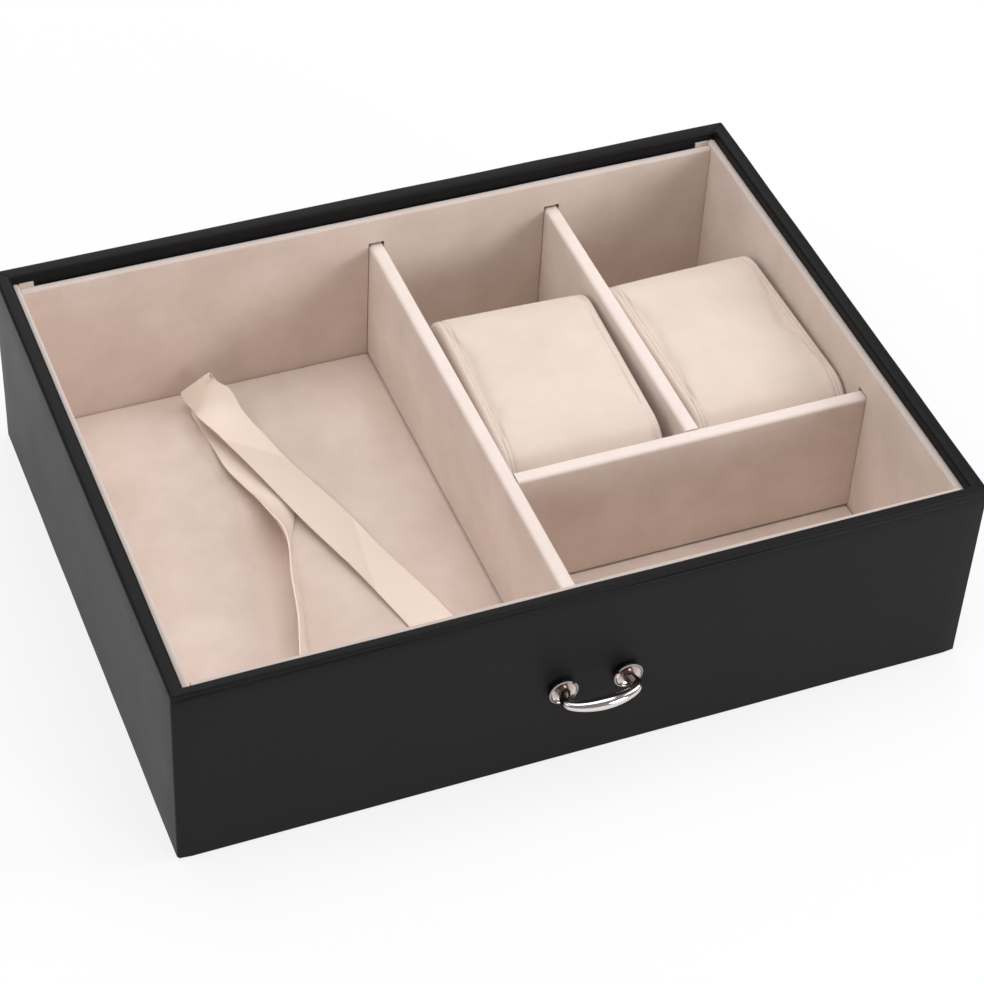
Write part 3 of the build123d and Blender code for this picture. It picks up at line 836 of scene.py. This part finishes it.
right, rear, up = Vector((1, 0, 0)), Vector((0, 1, 0)), Vector((0, 0, 1))
route = [(Vector((left_end, tuck_y, ribbon_floor - ribbon_tuck)), right)]
route += bend_frames(Vector((left_end, tuck_y, ribbon_floor)), up, right, rear, edge_radius, 90)
lower = strand_frames(lower_strand)
route += lower[:-1]
fold_place, fold_across = lower[-1]
fold_run = (fold_place - lower[-2][0]).normalized()
fold_run = (fold_run - fold_across * fold_run.dot(fold_across)).normalized()
fold_in = fold_across.cross(fold_run).normalized()
route += bend_frames(fold_place, fold_run, fold_across, fold_in, ribbon_fold_radius, 180)
route += strand_frames(upper_strand, route[-1][0])
last_bend = Vector((right_end, tuck_y + edge_radius, ribbon_low))
route += bend_frames(last_bend, -rear, right, -up, edge_radius, 90)
route.append((Vector((right_end, tuck_y, ribbon_floor - ribbon_tuck)), right))


def slopes(values, gaps):
    """Slope of a smooth curve through the values, each from its neighbours on both sides."""
    rates = [(after - before) / gap for before, after, gap in zip(values, values[1:], gaps)]
    inner = [
        (rates[index] * gaps[index + 1] + rates[index + 1] * gaps[index])
        / (gaps[index] + gaps[index + 1])
        for index in range(len(gaps) - 1)
    ]
    return [rates[0], *inner, rates[-1]]


def fine_route(frames, pitch):
    """The route in short steps along a smooth curve: place and cross direction."""
    places, crossings = zip(*frames)
    gaps = [(after - before).length for before, after in zip(places, places[1:])]
    curves = [(values, slopes(values, gaps)) for values in (places, crossings)]
    fine = []
    for index, gap in enumerate(gaps):
        count = max(1, round(gap / pitch))
        for step in range(count):
            share = step / count
            square, cube = share ** 2, share ** 3
            made = []
            for values, tilt in curves:
                made.append(
                    values[index] * (2 * cube - 3 * square + 1)
                    + tilt[index] * gap * (cube - 2 * square + share)
                    + values[index + 1] * (3 * square - 2 * cube)
                    + tilt[index + 1] * gap * (cube - square)
                )
            fine.append(tuple(made))
    fine.append(frames[-1])
    return fine


steps = fine_route(route, pitch=0.0015)
columns = 8
curl_depth = 0.0002
eased_reach = 0.011
eased_times = 4
strip = bmesh.new()
weave = strip.loops.layers.uv.new("weave")
threads_at = {}


def cross_points(index):
    """Points across the ribbon at one step, with a slight curl between its edges."""
    place, across = steps[index]
    run = (steps[min(index + 1, len(steps) - 1)][0] - steps[max(index - 1, 0)][0]).normalized()
    across = (across - run * across.dot(run)).normalized()
    through = across.cross(run)
    points = []
    for column in range(columns + 1):
        side = 2 * column / columns - 1
        curl = curl_depth * noise.noise(Vector((index * 0.09, side * 1.5, 4.0)))
        points.append(place + across * (side * ribbon_width / 2) + through * abs(curl))
    return points


row = [strip.verts.new(point) for point in cross_points(0)]
edges = [strip.edges.new(pair) for pair in zip(row, row[1:])]
travelled = 0.0
for column, point in enumerate(row):
    threads_at[point] = (column / columns * ribbon_width, 0.0)
for index in range(1, len(steps)):
    travelled += (steps[index][0] - steps[index - 1][0]).length
    made = bmesh.ops.extrude_edge_only(strip, edges=edges)["geom"]
    edges = [part for part in made if isinstance(part, bmesh.types.BMEdge)]
    fresh = [part for part in made if isinstance(part, bmesh.types.BMVert)]
    for column, (point, place) in enumerate(zip(fresh, cross_points(index))):
        point.co = place
        threads_at[point] = (column / columns * ribbon_width, travelled)
for panel in strip.faces:
    for corner in panel.loops:
        corner[weave].uv = threads_at[corner.vert]

# The rows crowd together on the inside of the fold, so the points near it are eased apart.
near_fold = [point for point in strip.verts if (point.co - fold_place).length < eased_reach]
for turn in range(eased_times):
    bmesh.ops.smooth_vert(
        strip, verts=near_fold, factor=0.4, use_axis_x=True, use_axis_y=True, use_axis_z=True,
    )
bmesh.ops.recalc_face_normals(strip, faces=strip.faces)
ribbon = make_piece("satin_lift_ribbon", strip, satin)
body_of_ribbon = ribbon.modifiers.new("thickness", "SOLIDIFY")
body_of_ribbon.thickness = ribbon_thickness
body_of_ribbon.offset = 0
bake(ribbon)
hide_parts("lift_ribbon")


# The photograph's ground, light and view: a white ground, a small lamp low at the front right, and
# large soft lamps above, at both sides and behind. The camera stands in front, left and above, and
# was fitted to the corners and long edges of the drawer in the photograph.
ground_shape = bmesh.new()
bmesh.ops.create_grid(ground_shape, x_segments=1, y_segments=1, size=6.0)
ground_mesh = bpy.data.meshes.new("ground")
ground_shape.to_mesh(ground_mesh)
ground_shape.free()
ground = bpy.data.objects.new("ground", ground_mesh)
bpy.context.scene.collection.objects.link(ground)
pale = Finish("white_ground", {"Roughness": 0.9})
seen = pale.node("LightPath", {}, {}, "Is Camera Ray")
mirrored = pale.node("LightPath", {}, {}, "Is Glossy Ray")
through = pale.node("LightPath", {}, {}, "Is Transmission Ray")
pale.surface({"Base Color": (0.85, 0.85, 0.86, 1)})
glow = pale.node("Emission", {}, {"Color": (1, 1, 1, 1), "Strength": 1.0})
blend = pale.tree.nodes.new("ShaderNodeMixShader")
pale.join((seen + through) * 0.78 + mirrored * 0.45, blend.inputs[0])
pale.tree.links.new(pale.shader.outputs[0], blend.inputs[1])
pale.tree.links.new(glow.socket, blend.inputs[2])
pale.tree.links.new(blend.outputs[0], pale.tree.nodes["Material Output"].inputs[0])
ground.data.materials.append(pale.material)

world = bpy.data.worlds.new("studio")
bpy.context.scene.world = world
world.use_nodes = True
sky = world.node_tree.nodes["Background"]
sky.inputs["Color"].default_value = (1.0, 0.99, 0.98, 1)
sky.inputs["Strength"].default_value = 0.24

object_middle = Vector((0.0, 0.0, 0.03))


def soft_lamp(name, place, side, power):
    """A square studio lamp that looks from its place at the middle of the object."""
    data = bpy.data.lights.new(name, "AREA")
    data.shape = "RECTANGLE"
    data.size = data.size_y = side
    data.energy = power
    lamp = bpy.data.objects.new(name, data)
    bpy.context.scene.collection.objects.link(lamp)
    lamp.location = place
    lamp.rotation_euler = (object_middle - Vector(place)).to_track_quat("-Z", "Y").to_euler()


soft_lamp("key_lamp", (0.8, -1.35, 0.42), side=0.5, power=8.9)
soft_lamp("right_lamp", (1.5, -0.15, 1.25), side=1.0, power=12.5)
soft_lamp("top_lamp", (0.0, 0.1, 1.8), side=1.6, power=18.8)
soft_lamp("left_lamp", (-1.6, -0.2, 1.2), side=1.4, power=12.2)
soft_lamp("back_lamp", (0.3, 1.7, 1.2), side=1.4, power=8.9)

lens = bpy.data.cameras.new("photo_view")
lens.lens = 107.66
lens.sensor_width = 36.0
lens.clip_start = 0.05
camera = bpy.data.objects.new("photo_view", lens)
bpy.context.scene.collection.objects.link(camera)
camera.location = (-0.2837044, -0.6583182, 0.7134608)
camera.rotation_euler = [math.radians(turn) for turn in (46.0129, -2.53784, -21.44736)]
bpy.context.scene.camera = camera
bpy.context.scene.view_settings.view_transform = "Standard"
